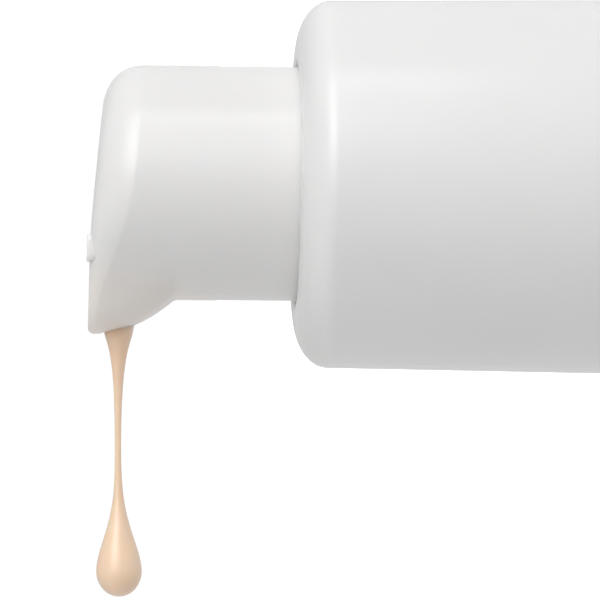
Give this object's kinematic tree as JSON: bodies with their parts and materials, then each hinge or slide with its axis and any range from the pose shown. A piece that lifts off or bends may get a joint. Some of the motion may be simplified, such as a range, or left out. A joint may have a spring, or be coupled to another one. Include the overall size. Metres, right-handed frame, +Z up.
{
  "type": "foundation bottle",
  "caption": "White airless pump bottle for liquid foundation, with a spouted head that is pressed and turned, and a hanging drop.",
  "frame": {"origin": "centre of the underside of the base, on the bottle's axis", "axes": "+Z up the bottle's axis to the pump head, -Y towards the spout"},
  "size_m": [0.0352, 0.0547, 0.1037],
  "materials": {
    "shell_white": "gloss white moulded plastic",
    "head_white": "gloss white moulded plastic, slightly translucent",
    "natural_plastic": "natural moulded polypropylene",
    "soft_seal": "soft white elastomer",
    "spring_steel": "bright stainless steel",
    "foundation": "wet, creamy peach liquid"
  },
  "bodies": {
    "bottle": {"outer_shell": "shell_white", "base_cap": "shell_white", "guide_collar": "shell_white", "inner_bottle": "natural_plastic", "closure_ferrule": "natural_plastic", "neck_gasket": "soft_seal", "pump_housing": "natural_plastic", "housing_cap": "natural_plastic", "ball_retainer": "natural_plastic", "return_spring": "spring_steel", "foundation_charge": "foundation"},
    "follower": {"follower_piston": "natural_plastic"},
    "inlet_valve": {"inlet_ball": "spring_steel"},
    "plunger": {"pump_stem": "natural_plastic", "valve_rod": "natural_plastic"},
    "outlet_seal": {"piston_seal": "soft_seal"},
    "head": {"actuator_head": "head_white", "actuator_core": "natural_plastic", "nozzle_insert": "natural_plastic", "foundation_drop": "foundation"}
  },
  "joints": [
    {"name": "pump_stroke", "type": "slide", "parent": "bottle", "child": "plunger", "axis": [0, 0, -1], "range_m": [0, 0.004], "stiffness_N_per_m": 1100, "springref_m": -0.006, "deforming": ["return_spring"]},
    {"name": "head_turn", "type": "hinge", "parent": "plunger", "child": "head", "pos_m": [0, 0, 0.0804], "axis": [0, 0, 1], "continuous": true},
    {"name": "seal_lag", "type": "slide", "parent": "plunger", "child": "outlet_seal", "axis": [0, 0, 1], "range_m": [0, 0.0008]},
    {"name": "inlet_ball_lift", "type": "slide", "parent": "bottle", "child": "inlet_valve", "axis": [0, 0, 1], "range_m": [0, 0.0008]},
    {"name": "follower_rise", "type": "slide", "parent": "bottle", "child": "follower", "axis": [0, 0, 1], "range_m": [0, 0.047], "deforming": ["foundation_charge"]}
  ]
}
